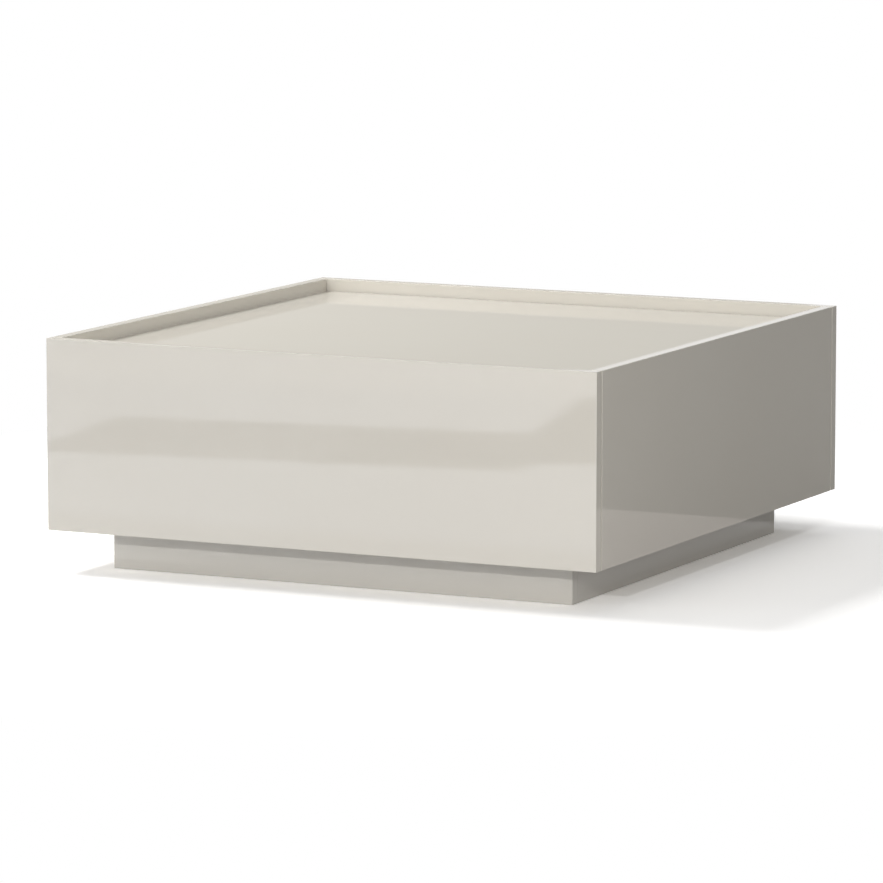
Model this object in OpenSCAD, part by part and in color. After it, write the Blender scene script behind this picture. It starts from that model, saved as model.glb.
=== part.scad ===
/* [Table] */
// Overall width across the side panels
table_w = 950; // [800:10:1200]
// Overall depth across the two drawer fronts
table_d = 950; // [860:10:1200]
// Height of the rim above the floor
table_h = 372; // [340:1:450]
// Thickness of the lacquered boards
board_t = 18; // [16:1:22]
// How far the table top lies below the rim
tray_depth = 21; // [12:1:40]
// Radius that eases the edges of the lacquered boards
ease_r = 0.8; // [0.4:0.1:1.5]

/* [Plinth] */
// Height of the plinth boards
plinth_h = 67; // [55:1:100]
// Setback of the plinth behind the drawer fronts
plinth_setback = 78; // [50:1:120]
// Setback of the plinth inside the faces of the side panels
plinth_side_setback = 75; // [50:1:120]
// Gap between the cross rail and the floor
cross_rail_lift = 3; // [1:0.5:10]
// Length of the two legs of a triangular corner block
block_leg = 45; // [35:1:70]
// Height of the corner blocks
block_h = 40; // [30:1:50]

/* [Drawers] */
// Gap between a shut drawer front and the carcass
push_gap = 2.5; // [2.2:0.1:4]
// Stroke by which a drawer front is pressed in to open it
press_stroke = 2; // [1:0.1:2]
// How far a drawer slides out
travel = 350; // [250:10:380]
// Thickness of the drawer sides and backs
side_t = 15; // [14:0.5:18]
// Thickness of the drawer bottoms
bottom_t = 6; // [4:0.5:8]
// Depth of the grooves that hold a drawer bottom
groove_d = 7; // [5:0.5:9]
// Height of the grooves above the lower edge of the drawer sides
groove_lift = 10; // [8:0.5:14]
// Space under the drawer sides
foot_room = 12; // [8:1:20]
// Space over the drawer sides
head_room = 36; // [20:1:60]
// Space between the back of a shut drawer and the partition
latch_room = 38; // [34:1:60]
// Width of the batten under a drawer bottom
batten_w = 60; // [40:1:100]

/* [Runners] */
// Side space that one runner takes
runner_t = 12.7; // [12.2:0.1:14]
// Height of a runner
runner_h = 45; // [43:0.5:50]
// Height of the runner's middle above the lower edge of the drawer sides
runner_lift = 58; // [52:1:70]
// How much shorter a runner is than the drawer box
runner_short = 10; // [6:1:30]
// Setback of the runners from the edge of the carcass
runner_setback = 2; // [1:0.5:4]
// Thickness of the rolled steel
steel_t = 1; // [0.8:0.1:1.1]
// Inside radius of the plain bends
bend_r = 0.7; // [0.5:0.1:1]
// Diameter of the balls
ball_d = 3.5; // [3.2:0.1:3.8]
// Number of balls in one row of a cage
ball_count = 6; // [4:1:9]
// Play of the balls in their raceways and pockets
race_play = 0.1; // [0.06:0.01:0.15]
// Thickness of a ball cage
cage_t = 0.6; // [0.4:0.1:0.7]
// Play between a ball cage and the rails beside it
cage_play = 0.4; // [0.3:0.05:0.5]
// Diameter of the access holes in the middle rails
access_d = 10; // [8:0.5:14]
// Length and width of the spare screw slots in the rails
slot_len = 9; // [7:0.5:11]
slot_w = 4.5; // [4:0.1:5]

/* [Fixings] */
// Radial play of dowels, screws, bolts and cams in their holes
play = 0.1; // [0.05:0.05:0.2]
// Diameter of the wooden dowels
dowel_d = 8; // [6:1:8]
// Length of the wooden dowels
dowel_len = 30; // [25:1:35]
// Depth of a dowel in the board that covers the joint
dowel_seat = 11; // [8:1:13]
// Diameter of the cam locks
cam_d = 15; // [12:1:16]
// Distance from a joint to the centre of its cam lock
cam_reach = 34; // [24:1:40]
// How far a cam lock reaches past the axis of its bolt
cam_over = 4; // [3.5:0.1:5]
// Thread diameter of the cam bolts
bolt_d = 5; // [4:0.5:6]
// Length of a cam bolt's thread
bolt_thread = 11; // [8:0.5:13]
// Diameter of a cam bolt's head
bolt_head_d = 7; // [6.6:0.1:7.5]
// Diameter of a cam bolt's neck inside the cam
bolt_neck_d = 4; // [3:0.1:4.5]
// Distance from the ends of the top and bottom panels to their outer cams
cam_inset = 60; // [50:1:80]
// Distance from the middle of the table to the inner cams
inner_cam_y = 160; // [120:5:200]
// Distance from the edges of the partition to its cams
partition_cam_inset = 60; // [40:1:80]
// Distance from a cam to the dowel beside it
dowel_step = 32; // [24:1:40]
// Diameter of the runner screws
screw_d = 3.5; // [3:0.1:4]
// Length of the runner screws
screw_len = 12; // [10:0.5:13]
// Distance from the ends of a rail to its first and last screw
screw_inset = 37; // [30:1:60]
// Diameter of the long screws
long_screw_d = 5; // [4:0.5:6]
// Length of the long screws
long_screw_len = 50; // [45:1:56]

/* [Push latches] */
// Distance of a latch from the middle of its drawer
latch_x = 300; // [150:5:350]
// Height of the latches above the lower edge of the drawer sides
latch_lift = 100; // [70:1:130]
// Diameter of a latch housing
latch_d = 16; // [14:0.5:20]
// Thickness of the mounting plate and the end wall of a housing
latch_wall = 3; // [2:0.5:4]
// Distance from the latch's axis to its screws
latch_screw_z = 17; // [15:0.5:25]
// Diameter of a plunger
plunger_d = 8; // [6:0.5:10]
// How far a plunger stands out of its housing when the drawer is shut
plunger_out = 9; // [6:0.5:12]
// Space behind a plunger for its spring
spring_room = 4; // [3:0.5:6]
// Clearance that stays between a plunger and the drawer at the end of the press
tip_clear = 0.3; // [0.2:0.1:1]
// Length of the latch screws in the partition
latch_screw_len = 7; // [6:0.5:7.5]

/* [Hidden] */
$fn = 48;
// A hair past a face, so that a cut goes through it
eps = 0.01;
// Empty length behind a fixing in its hole
hole_end = 0.5;

// Heights
top_z = table_h - tray_depth;
bay_z = plinth_h + board_t;
bay_top = top_z - board_t;
drawer_z = bay_z + foot_room;
drawer_h = bay_top - head_room - drawer_z;
drawer_bottom_z = drawer_z + groove_lift;
runner_z = drawer_z + runner_lift;
latch_z = drawer_z + latch_lift;

// Lengths and widths
inner_w = table_w - 2 * board_t;
carcass_d = table_d - 2 * (board_t + push_gap);
front_in = table_d / 2 - board_t;
drawer_d = front_in - board_t / 2 - latch_room;
drawer_w = inner_w - 2 * runner_t;
drawer_inner_w = drawer_w - 2 * side_t;
drawer_back_y = -front_in + drawer_d;
plinth_w = table_w - 2 * plinth_side_setback;
plinth_d = table_d - 2 * plinth_setback;

// Runner: u runs from the side panel to the drawer and v runs up from the runner's middle
rail_len = drawer_d - runner_short;
rail_front_y = -(carcass_d / 2 - runner_setback);
race_r = ball_d / 2 + race_play;
race_mid_r = race_r + steel_t / 2;
bend_mid_r = bend_r + steel_t / 2;
// Angles that the curled lips and the rolled groove turn through
lip_turn = 25;
groove_turn = 30;
// Flat length between the middle rail's bend and its groove
groove_flat = 0.3;
outer_cage_u = steel_t + cage_play;
middle_web_u = outer_cage_u + cage_t + cage_play;
inner_cage_u = middle_web_u + steel_t + cage_play;
middle_bend_u = middle_web_u + steel_t / 2 + bend_mid_r;
outer_ball = [
  middle_bend_u + groove_flat + (race_mid_r + bend_mid_r) * sin(groove_turn),
  runner_h / 2 - steel_t - race_r
];
inner_ball = [inner_cage_u + cage_t + cage_play + race_r + steel_t, outer_ball[1] - 2 * race_mid_r];
// A cage stays between both of its rails over the whole travel
cage_front_y = rail_front_y + travel / 4;
cage_len = rail_len - travel / 2;
// Width of a cage's arm beyond the middle of its balls
cage_arm = 1.3;
cage_arm_t = 0.7;
screw_ys = [
  rail_front_y + screw_inset,
  rail_front_y + rail_len / 2,
  rail_front_y + rail_len - screw_inset
];

// Places of the fixings
cam_ys = [carcass_d / 2 - cam_inset, inner_cam_y, -inner_cam_y, cam_inset - carcass_d / 2];
dowel_ys = [
  carcass_d / 2 - cam_inset - dowel_step,
  inner_cam_y + dowel_step,
  -inner_cam_y - dowel_step,
  cam_inset - carcass_d / 2 + dowel_step
];
panel_zs = [plinth_h + board_t / 2, top_z - board_t / 2];
partition_cam_zs = [bay_z + partition_cam_inset, bay_top - partition_cam_inset];
partition_dowel_zs = [
  bay_z + partition_cam_inset + dowel_step,
  bay_top - partition_cam_inset - dowel_step
];
// Drawer joints, measured from the lower and upper edge of the drawer sides
drawer_cam_low = 28;
drawer_cam_high = 32;
drawer_cam_zs = [drawer_z + drawer_cam_low, drawer_z + drawer_h - drawer_cam_high];
drawer_dowel_zs = [drawer_z + drawer_cam_low + 2 * dowel_step, drawer_cam_zs[1] - dowel_step];
drawer_side_x = drawer_w / 2 - side_t / 2;
back_screw_zs = [runner_z + runner_h / 2 + 12, drawer_z + drawer_h - 25];
bottom_screw_xs = [-drawer_inner_w / 3, 0, drawer_inner_w / 3];
plinth_dowel_zs = [plinth_h / 4, plinth_h * 3 / 4];

// Latch lengths, measured from the partition
latch_len = latch_room - press_stroke - tip_clear - plunger_out;
plunger_in = latch_len - latch_wall - spring_room;

lacquer = [0.83, 0.81, 0.76];
melamine = [0.88, 0.86, 0.82];
beech = [0.80, 0.65, 0.45];
steel = [0.72, 0.73, 0.75];
zinc = [0.62, 0.63, 0.65];
acetal = [0.85, 0.85, 0.84];
grey_plastic = [0.45, 0.46, 0.47];

// Rectangle with rounded corners, centred
module rounded_rect(w, h, r) {
  square([w - 2 * r, h], center = true);
  square([w, h - 2 * r], center = true);
  for (x = [-1, 1], y = [-1, 1])
    translate([x * (w / 2 - r), y * (h / 2 - r)]) circle(r);
}

// Board with all edges eased, centred, as the part common to three rounded bars
module eased_board(size) {
  intersection() {
    linear_extrude(size[2], center = true) rounded_rect(size[0], size[1], ease_r);
    rotate([90, 0, 0]) linear_extrude(size[1], center = true)
      rounded_rect(size[0], size[2], ease_r);
    rotate([90, 0, 90]) linear_extrude(size[0], center = true)
      rounded_rect(size[1], size[2], ease_r);
  }
}

// Turns a piece of the front drawer to its place in the back drawer
module facing(back) {
  rotate([0, 0, back ? 180 : 0]) children();
}

// Countersunk screw along -Z with its head's face at the origin; grow widens it to its hole
module screw(d, len, grow = 0) {
  head_h = d / 2;
  below = grow > 0 ? hole_end : 0;
  above = grow > 0 ? eps : 0;
  translate([0, 0, -head_h]) cylinder(h = head_h, r1 = d / 2 + grow, r2 = d + grow);
  translate([0, 0, -len - below]) cylinder(h = len + below, r = d / 2 + grow);
  translate([0, 0, -eps]) cylinder(h = eps + above, r = d + grow);
}

// Fixings of a joint in its local frame: the joint's face is x = 0, the covering board lies at -x,
// the board with the cam at +x, and the cam opens at -z, half that board's thickness t away
module cam_bolt() {
  rotate([0, -90, 0]) cylinder(h = bolt_thread, d = bolt_d);
  rotate([0, 90, 0]) cylinder(h = cam_reach - cam_d / 2, d = bolt_head_d);
  rotate([0, 90, 0]) cylinder(h = cam_reach, d = bolt_neck_d);
  translate([cam_reach, 0, 0]) sphere(d = bolt_head_d - 1);
}

// Cam with the cavity that grips the bolt's head and the cross slot that turns it
module cam_lock(t) {
  translate([cam_reach, 0, 0]) difference() {
    translate([0, 0, -t / 2 + play]) cylinder(h = t / 2 + cam_over - play, d = cam_d);
    sphere(d = bolt_head_d - 1 + 2 * play);
    rotate([0, -90, 0]) cylinder(h = cam_d, d = bolt_neck_d + 2 * play);
    for (turn = [0, 90])
      rotate([0, 0, turn]) translate([0, 0, -t / 2]) cube([cam_d * 0.6, 1.4, 3], center = true);
  }
}

module cam_bolt_hole() {
  translate([eps, 0, 0]) rotate([0, -90, 0])
    cylinder(h = bolt_thread + hole_end + eps, r = bolt_d / 2 + play);
}

module cam_holes(t) {
  translate([-eps, 0, 0]) rotate([0, 90, 0]) cylinder(h = cam_reach, r = bolt_head_d / 2 + play);
  translate([cam_reach, 0, -t / 2 - eps])
    cylinder(h = t / 2 + cam_over + play + eps, r = cam_d / 2 + play);
}

module dowel() {
  translate([-dowel_seat, 0, 0]) rotate([0, 90, 0]) cylinder(h = dowel_len, d = dowel_d);
}

module dowel_hole() {
  translate([-dowel_seat - hole_end, 0, 0]) rotate([0, 90, 0])
    cylinder(h = dowel_len + 2 * hole_end, r = dowel_d / 2 + play);
}

// Joints between the side panels and the top and bottom panels
module at_panel_joints(ys, zs) {
  for (side = [0, 180], y = ys, z = zs)
    rotate([0, 0, side]) translate([-inner_w / 2, y, z]) children();
}

// Joints between the side panels and the partition
module at_partition_joints(zs) {
  for (side = [0, 1], z = zs)
    mirror([side, 0, 0]) translate([-inner_w / 2, 0, z]) rotate([90, 0, 0]) children();
}

// Joints between a drawer front and its drawer sides
module at_drawer_joints(zs) {
  for (side = [-1, 1], z = zs)
    translate([side * drawer_side_x, -front_in, z]) rotate([0, 0, 90]) rotate([side * 90, 0, 0])
      children();
}

// Joints between the plinth's front and back boards and its side boards
module at_plinth_joints() {
  for (turn = [0, 180], side = [-1, 1], z = plinth_dowel_zs)
    rotate([0, 0, turn]) translate([side * (plinth_w - board_t) / 2, board_t - plinth_d / 2, z])
      rotate([0, 0, 90]) children();
}

module at_corner_blocks() {
  for (x = [0, 1], y = [0, 1])
    mirror([x, 0, 0]) mirror([0, y, 0])
      translate([board_t - plinth_w / 2, board_t - plinth_d / 2, plinth_h - block_h]) children();
}

// Runner screws in the side panels and in the drawer sides
module at_cabinet_screws() {
  for (turn = [0, 180], side = [0, 1], y = screw_ys)
    rotate([0, 0, turn]) mirror([side, 0, 0]) translate([-inner_w / 2, y, runner_z])
      translate([steel_t, 0, 0]) rotate([0, 90, 0]) children();
}

module at_drawer_screws() {
  for (side = [0, 1], y = screw_ys)
    mirror([side, 0, 0]) translate([-inner_w / 2 + runner_t - steel_t, y, runner_z])
      rotate([0, -90, 0]) children();
}

// Long screws that hold a drawer's back between its sides
module at_back_screws() {
  for (side = [0, 1], z = back_screw_zs)
    mirror([side, 0, 0]) translate([-drawer_w / 2, drawer_back_y - side_t / 2, z])
      rotate([0, -90, 0]) children();
}

module at_bottom_screws() {
  for (x = bottom_screw_xs)
    translate([x, drawer_back_y - side_t / 2, drawer_bottom_z]) rotate([180, 0, 0]) children();
}

module at_latches() {
  for (side = [-1, 1])
    translate([side * latch_x, -board_t / 2, latch_z]) rotate([90, 0, 0]) children();
}

module at_latch_screws() {
  at_latches() for (z = [-1, 1])
    translate([0, z * latch_screw_z, latch_wall]) children();
}

// Carcass

module table_top() {
  color(lacquer) difference() {
    translate([0, 0, top_z - board_t / 2]) intersection() {
      cube([inner_w, carcass_d, board_t], center = true);
      eased_board([inner_w + 4 * ease_r, carcass_d, board_t]);
    }
    at_panel_joints(cam_ys, [panel_zs[1]]) cam_holes(board_t);
    at_panel_joints(dowel_ys, [panel_zs[1]]) dowel_hole();
  }
}

module side_panel(side) {
  color(lacquer) difference() {
    translate([side * (table_w - board_t) / 2, 0, (table_h + plinth_h) / 2])
      eased_board([board_t, carcass_d, table_h - plinth_h]);
    at_panel_joints(cam_ys, panel_zs) cam_bolt_hole();
    at_panel_joints(dowel_ys, panel_zs) dowel_hole();
    at_partition_joints(partition_cam_zs) cam_bolt_hole();
    at_partition_joints(partition_dowel_zs) dowel_hole();
    at_cabinet_screws() screw(screw_d, screw_len, play);
  }
}

module bottom_panel() {
  color(lacquer) difference() {
    translate([-inner_w / 2, -carcass_d / 2, plinth_h]) cube([inner_w, carcass_d, board_t]);
    at_panel_joints(cam_ys, [panel_zs[0]]) cam_holes(board_t);
    at_panel_joints(dowel_ys, [panel_zs[0]]) dowel_hole();
    at_corner_blocks() corner_screw(play);
  }
}

module centre_partition() {
  color(melamine) difference() {
    translate([-inner_w / 2, -board_t / 2, bay_z]) cube([inner_w, board_t, bay_top - bay_z]);
    at_partition_joints(partition_cam_zs) cam_holes(board_t);
    at_partition_joints(partition_dowel_zs) dowel_hole();
    for (back = [false, true])
      facing(back) at_latch_screws() screw(screw_d, latch_wall + latch_screw_len, play);
  }
}

// Plinth

module plinth_board(turn) {
  color(lacquer) difference() {
    rotate([0, 0, turn]) translate([0, (board_t - plinth_d) / 2, plinth_h / 2])
      eased_board([plinth_w, board_t, plinth_h]);
    at_plinth_joints() dowel_hole();
  }
}

module plinth_side(side) {
  color(lacquer) difference() {
    translate([side * (plinth_w - board_t) / 2, 0, plinth_h / 2])
      eased_board([board_t, plinth_d - 2 * board_t, plinth_h]);
    at_plinth_joints() dowel_hole();
  }
}

module plinth_cross_rail() {
  color(lacquer)
    translate([board_t - plinth_w / 2, -board_t / 2, cross_rail_lift])
      cube([plinth_w - 2 * board_t, board_t, plinth_h - cross_rail_lift]);
}

// Screw through a corner block up into the bottom panel
module corner_screw(grow = 0) {
  translate([block_leg / 3, block_leg / 3, 0]) rotate([180, 0, 0])
    screw(long_screw_d, long_screw_len, grow);
}

module plinth_corner_blocks() {
  color(beech) difference() {
    at_corner_blocks() linear_extrude(block_h) polygon([[0, 0], [block_leg, 0], [0, block_leg]]);
    at_corner_blocks() corner_screw(play);
  }
}

module plinth_screws() {
  color(zinc) at_corner_blocks() corner_screw();
}

// Fixings of the carcass

module carcass_cam_bolts() {
  color(steel) {
    at_panel_joints(cam_ys, panel_zs) cam_bolt();
    at_partition_joints(partition_cam_zs) cam_bolt();
  }
}

module carcass_cam_locks() {
  color(zinc) {
    at_panel_joints(cam_ys, panel_zs) cam_lock(board_t);
    at_partition_joints(partition_cam_zs) cam_lock(board_t);
  }
}

module carcass_dowels() {
  color(beech) {
    at_panel_joints(dowel_ys, panel_zs) dowel();
    at_partition_joints(partition_dowel_zs) dowel();
    at_plinth_joints() dowel();
  }
}

// Runners: each rail is one rolled strip, given by its bends as centre, middle radius, first and
// last angle. Straight stretches join the bends, and the lower half mirrors the upper one.

cabinet_bends = [
  [[bend_mid_r + steel_t / 2, runner_h / 2 - steel_t / 2 - bend_mid_r], bend_mid_r, 180, 90],
  [outer_ball, race_mid_r, 90, -lip_turn]
];
groove_bend_v = outer_ball[1] - (race_mid_r + bend_mid_r) * cos(groove_turn);
middle_bends = [
  [[middle_bend_u, groove_bend_v], bend_mid_r, 180, 90],
  [[middle_bend_u + groove_flat, groove_bend_v], bend_mid_r, 90, 90 - groove_turn],
  [outer_ball, race_mid_r, 270 - groove_turn, 270],
  [inner_ball, race_mid_r, 90, -lip_turn]
];
drawer_bends = [
  [
    [runner_t - steel_t / 2 - bend_mid_r, inner_ball[1] - race_mid_r - bend_mid_r],
    bend_mid_r, 0, 90
  ],
  [inner_ball, race_mid_r, 270, 180 + lip_turn]
];

function arc(c, r, first, last) =
  let (steps = ceil(abs(last - first) / 10))
  [for (i = [0:steps]) let (a = first + (last - first) * i / steps) c + r * [cos(a), sin(a)]];
function reversed(list) = [for (i = [len(list) - 1:-1:0]) list[i]];
// The mirrored lower half of a rail's bends, run through from its end to the web
function lower_half(bends) =
  [for (b = reversed(bends)) [[b[0][0], -b[0][1]], b[1], -b[3], -b[2]]];
// One face of the strip, at half the thickness to the left or right of its middle
function strip_face(bends, shift) = [
  for (b = bends) each arc(b[0], b[1] - shift * sign(b[3] - b[2]), b[2], b[3])
];
function strip_outline(bends) =
  let (all = concat(lower_half(bends), bends))
  concat(strip_face(all, steel_t / 2), reversed(strip_face(all, -steel_t / 2)));

// Places a runner's u, y and v on the inner face of a side panel
module runner_frame(back, side) {
  facing(back) mirror([side, 0, 0]) translate([-inner_w / 2, 0, runner_z]) children();
}

module rail(bends) {
  translate([0, rail_front_y + rail_len, 0]) rotate([90, 0, 0])
    linear_extrude(rail_len) polygon(strip_outline(bends));
}

// Spare slots between the screws of a rail's web: two across the rail and two along it
module spare_slots(web_u) {
  quarter = (rail_len / 2 - screw_inset) / 2;
  for (i = [0, 1], turn = [0, 90])
    translate([
      web_u - eps,
      screw_ys[1] + (i * 2 - 1) * (quarter - turn / 90 * 3 * slot_len),
      0
    ])
      rotate([0, 90, 0]) rotate([0, 0, turn]) linear_extrude(steel_t + 2 * eps) {
        square([slot_len - slot_w, slot_w], center = true);
        for (end = [-1, 1]) translate([end * (slot_len - slot_w) / 2, 0]) circle(d = slot_w);
      }
}

module cabinet_rail(back, side) {
  color(steel) difference() {
    runner_frame(back, side) rail(cabinet_bends);
    runner_frame(back, side) spare_slots(0);
    at_cabinet_screws() screw(screw_d, screw_len, play);
  }
}

module middle_rail(back, side) {
  color(steel) runner_frame(back, side) difference() {
    rail(middle_bends);
    for (y = screw_ys)
      translate([middle_web_u - eps, y, 0]) rotate([0, 90, 0])
        cylinder(h = steel_t + 2 * eps, d = access_d);
  }
}

module drawer_rail(back, side) {
  color(steel) difference() {
    runner_frame(back, side) rail(drawer_bends);
    runner_frame(back, side) spare_slots(runner_t - steel_t);
    facing(back) at_drawer_screws() screw(screw_d, screw_len, play);
  }
}

// Cage of bent strip with a row of balls in the pockets of each arm
module ball_cage(web_u, ball) {
  ball_step = cage_len / ball_count;
  arm_w = ball[0] + cage_arm - web_u;
  difference() {
    translate([web_u, cage_front_y, -ball[1] - cage_arm_t / 2])
      cube([arm_w, cage_len, 2 * ball[1] + cage_arm_t]);
    translate([web_u + cage_t, cage_front_y - eps, -ball[1] + cage_arm_t / 2])
      cube([arm_w, cage_len + 2 * eps, 2 * ball[1] - cage_arm_t]);
    for (v = [-1, 1], i = [0:ball_count - 1])
      translate([ball[0], cage_front_y + (i + 0.5) * ball_step, v * ball[1]])
        cylinder(h = 2 * cage_arm_t, r = race_r, center = true);
  }
  for (v = [-1, 1], i = [0:ball_count - 1])
    translate([ball[0], cage_front_y + (i + 0.5) * ball_step, v * ball[1]]) sphere(d = ball_d);
}

module ball_cages(back, web_u, ball) {
  color(acetal) for (side = [0, 1]) runner_frame(back, side) ball_cage(web_u, ball);
}

module cabinet_rail_screws() {
  color(zinc) at_cabinet_screws() screw(screw_d, screw_len);
}

// Drawers

module drawer_front(back) {
  color(lacquer) facing(back) difference() {
    translate([0, (board_t - table_d) / 2, (table_h + plinth_h) / 2])
      eased_board([table_w, board_t, table_h - plinth_h]);
    at_drawer_joints(drawer_cam_zs) cam_bolt_hole();
    at_drawer_joints(drawer_dowel_zs) dowel_hole();
    drawer_bottom_groove();
  }
}

// The space that the drawer bottom slides into, in the front and in both sides
module drawer_bottom_groove() {
  groove_w = drawer_inner_w + 2 * groove_d;
  translate([-groove_w / 2, -front_in - groove_d, drawer_bottom_z])
    cube([groove_w, drawer_d + groove_d + eps, bottom_t + 2 * play]);
}

module drawer_side(back, side) {
  color(melamine) facing(back) difference() {
    translate([side > 0 ? drawer_inner_w / 2 : -drawer_w / 2, -front_in, drawer_z])
      cube([side_t, drawer_d, drawer_h]);
    at_drawer_joints(drawer_cam_zs) cam_holes(side_t);
    at_drawer_joints(drawer_dowel_zs) dowel_hole();
    drawer_bottom_groove();
    at_drawer_screws() screw(screw_d, screw_len, play);
    at_back_screws() screw(long_screw_d, long_screw_len, play);
  }
}

module drawer_back(back) {
  color(melamine) facing(back) difference() {
    translate([-drawer_inner_w / 2, drawer_back_y - side_t, drawer_bottom_z + bottom_t])
      cube([drawer_inner_w, side_t, drawer_z + drawer_h - drawer_bottom_z - bottom_t]);
    at_back_screws() screw(long_screw_d, long_screw_len, play);
    at_bottom_screws() screw(screw_d, screw_len, play);
  }
}

module drawer_bottom(back) {
  side_play = 0.5;
  bottom_w = drawer_inner_w + 2 * (groove_d - side_play);
  color(melamine) facing(back) difference() {
    translate([-bottom_w / 2, -front_in - groove_d + side_play, drawer_bottom_z])
      cube([bottom_w, drawer_d + groove_d - side_play, bottom_t]);
    at_bottom_screws() screw(screw_d, screw_len, play);
  }
}

// Flat batten glued under the bottom, from the front to the back board
module drawer_batten(back) {
  color(beech) facing(back)
    translate([-batten_w / 2, -front_in, drawer_z])
      cube([batten_w, drawer_d - 2 * side_t, groove_lift]);
}

module drawer_cam_bolts(back) {
  color(steel) facing(back) at_drawer_joints(drawer_cam_zs) cam_bolt();
}

module drawer_cam_locks(back) {
  color(zinc) facing(back) at_drawer_joints(drawer_cam_zs) cam_lock(side_t);
}

module drawer_dowels(back) {
  color(beech) facing(back) at_drawer_joints(drawer_dowel_zs) dowel();
}

module drawer_screws(back) {
  color(zinc) facing(back) {
    at_drawer_screws() screw(screw_d, screw_len);
    at_bottom_screws() screw(screw_d, screw_len);
  }
}

module drawer_long_screws(back) {
  color(zinc) facing(back) at_back_screws() screw(long_screw_d, long_screw_len);
}

// Push latches

module latch_housings(back) {
  color(grey_plastic) facing(back) difference() {
    at_latches() {
      linear_extrude(latch_wall) {
        square([latch_d, 2 * latch_screw_z], center = true);
        for (z = [-1, 1]) translate([0, z * latch_screw_z]) circle(d = latch_d);
      }
      cylinder(h = latch_len, d = latch_d);
    }
    at_latches() translate([0, 0, latch_wall])
      cylinder(h = latch_len, r = plunger_d / 2 + play);
    at_latch_screws() screw(screw_d, latch_wall + latch_screw_len, play);
  }
}

// Plunger with a domed rubber tip
module latch_plungers(back) {
  tip_r = plunger_d / 2 + 1;
  tip_h = 4;
  color(acetal) facing(back) at_latches() {
    translate([0, 0, latch_len - plunger_in])
      cylinder(h = plunger_in + plunger_out - tip_h, d = plunger_d);
    translate([0, 0, latch_len + plunger_out - tip_h]) cylinder(h = tip_h - 1, r = tip_r);
    translate([0, 0, latch_len + plunger_out - 1]) cylinder(h = 1, r1 = tip_r, r2 = tip_r - 1);
  }
}

module latch_screws() {
  color(zinc) for (back = [false, true])
    facing(back) at_latch_screws() screw(screw_d, latch_wall + latch_screw_len);
}

table_top();
side_panel(-1);  // left_side_panel
side_panel(1);  // right_side_panel
bottom_panel();
centre_partition();
plinth_board(0);  // plinth_front
plinth_board(180);  // plinth_back
plinth_side(-1);  // plinth_left
plinth_side(1);  // plinth_right
plinth_cross_rail();
plinth_corner_blocks();
plinth_screws();
carcass_cam_bolts();
carcass_cam_locks();
carcass_dowels();
cabinet_rail(false, 0);  // front_left_cabinet_rail
cabinet_rail(false, 1);  // front_right_cabinet_rail
cabinet_rail(true, 0);  // back_left_cabinet_rail
cabinet_rail(true, 1);  // back_right_cabinet_rail
cabinet_rail_screws();
latch_housings(false);  // front_latch_housings
latch_housings(true);  // back_latch_housings
latch_screws();
drawer_front(false);  // front_drawer_front
drawer_side(false, -1);  // front_drawer_left_side
drawer_side(false, 1);  // front_drawer_right_side
drawer_back(false);  // front_drawer_back
drawer_bottom(false);  // front_drawer_bottom
drawer_batten(false);  // front_drawer_batten
drawer_rail(false, 0);  // front_left_drawer_rail
drawer_rail(false, 1);  // front_right_drawer_rail
drawer_cam_bolts(false);  // front_drawer_cam_bolts
drawer_cam_locks(false);  // front_drawer_cam_locks
drawer_dowels(false);  // front_drawer_dowels
drawer_screws(false);  // front_drawer_screws
drawer_long_screws(false);  // front_drawer_long_screws
drawer_front(true);  // back_drawer_front
drawer_side(true, -1);  // back_drawer_left_side
drawer_side(true, 1);  // back_drawer_right_side
drawer_back(true);  // back_drawer_back
drawer_bottom(true);  // back_drawer_bottom
drawer_batten(true);  // back_drawer_batten
drawer_rail(true, 0);  // back_left_drawer_rail
drawer_rail(true, 1);  // back_right_drawer_rail
drawer_cam_bolts(true);  // back_drawer_cam_bolts
drawer_cam_locks(true);  // back_drawer_cam_locks
drawer_dowels(true);  // back_drawer_dowels
drawer_screws(true);  // back_drawer_screws
drawer_long_screws(true);  // back_drawer_long_screws
middle_rail(false, 0);  // front_left_middle_rail
middle_rail(false, 1);  // front_right_middle_rail
middle_rail(true, 0);  // back_left_middle_rail
middle_rail(true, 1);  // back_right_middle_rail
ball_cages(false, outer_cage_u, outer_ball);  // front_outer_cages
ball_cages(false, inner_cage_u, inner_ball);  // front_inner_cages
ball_cages(true, outer_cage_u, outer_ball);  // back_outer_cages
ball_cages(true, inner_cage_u, inner_ball);  // back_inner_cages
latch_plungers(false);  // front_latch_plungers
latch_plungers(true);  // back_latch_plungers
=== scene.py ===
import math

import bmesh
import bpy
from mathutils import Matrix, Vector


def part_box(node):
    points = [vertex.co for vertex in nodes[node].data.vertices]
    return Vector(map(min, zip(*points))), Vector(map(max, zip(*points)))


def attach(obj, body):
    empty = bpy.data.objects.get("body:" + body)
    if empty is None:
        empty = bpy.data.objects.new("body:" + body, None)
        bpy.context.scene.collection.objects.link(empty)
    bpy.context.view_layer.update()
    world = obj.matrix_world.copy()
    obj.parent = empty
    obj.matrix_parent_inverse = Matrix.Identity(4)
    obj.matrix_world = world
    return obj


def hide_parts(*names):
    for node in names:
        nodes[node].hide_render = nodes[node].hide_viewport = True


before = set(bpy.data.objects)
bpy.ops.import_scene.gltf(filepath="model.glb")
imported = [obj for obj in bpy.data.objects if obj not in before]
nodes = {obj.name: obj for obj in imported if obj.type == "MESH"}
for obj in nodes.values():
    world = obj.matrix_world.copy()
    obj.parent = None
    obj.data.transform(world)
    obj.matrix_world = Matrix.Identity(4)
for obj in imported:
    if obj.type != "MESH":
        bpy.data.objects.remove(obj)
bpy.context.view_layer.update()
mm = 0.001
print("stage: frame loaded")


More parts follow.
